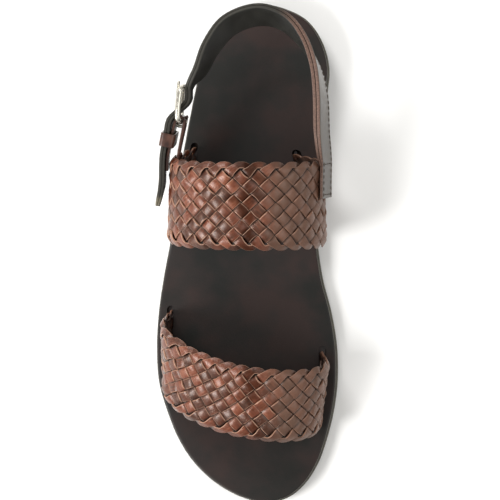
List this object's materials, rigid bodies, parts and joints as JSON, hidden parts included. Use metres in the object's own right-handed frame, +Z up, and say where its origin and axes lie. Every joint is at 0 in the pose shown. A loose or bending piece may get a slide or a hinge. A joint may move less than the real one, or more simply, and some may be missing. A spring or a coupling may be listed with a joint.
{
  "type": "huarache_sandal",
  "caption": "Right huarache sandal: two plaited brown leather straps through slits in a dark leather footbed, heel strap with a small buckle, and a low grey rubber heel",
  "frame": {"origin": "middle of the heel's ground face", "axes": "+X to the inner (big toe) side, +Y to the back of the heel, +Z up"},
  "size_m": [0.1058, 0.288, 0.0801],
  "materials": {
    "heel_rubber": "matte",
    "sole_leather": "polished",
    "footbed_leather": "satin",
    "plaited_leather": "polished",
    "strap_leather": "satin",
    "ply_leather": "satin",
    "nickel": "satin"
  },
  "bodies": {
    "root": {"heel": "heel_rubber", "outsole": "sole_leather", "insole": "footbed_leather", "instep_strap": "plaited_leather", "forefoot_strap": "plaited_leather", "heel_strap": "strap_leather", "buckle_strap": "ply_leather", "keeper": "ply_leather", "buckle_frame": "nickel", "buckle_prong": "nickel"}
  },
  "joints": []
}
